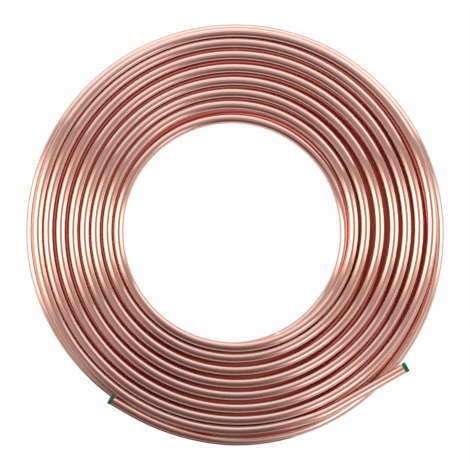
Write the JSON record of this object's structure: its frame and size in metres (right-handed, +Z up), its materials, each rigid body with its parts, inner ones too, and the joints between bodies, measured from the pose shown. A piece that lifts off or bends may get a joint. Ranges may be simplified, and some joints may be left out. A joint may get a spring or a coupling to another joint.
{
  "type": "copper tube coil",
  "caption": "Flat double-layer coil of bright soft copper tube for refrigeration and plumbing, with both free ends on the outside closed by green push-in plugs.",
  "frame": {"origin": "middle of the coil's bounding box, on the floor that it lies on", "axes": "+Z up, along the coil's own axis; +X and +Y in the plane of the coil, with both free ends on its -Y side and the upper end reaching towards +X"},
  "size_m": [0.4074, 0.4136, 0.0198],
  "materials": {
    "copper": "bright drawn copper, softly polished, with fine lengthwise draw marks",
    "plug_plastic": "smooth moulded green polyethylene"
  },
  "bodies": {
    "root": {"copper_tube": "copper", "end_plug_lower": "plug_plastic", "end_plug_upper": "plug_plastic"}
  },
  "joints": []
}
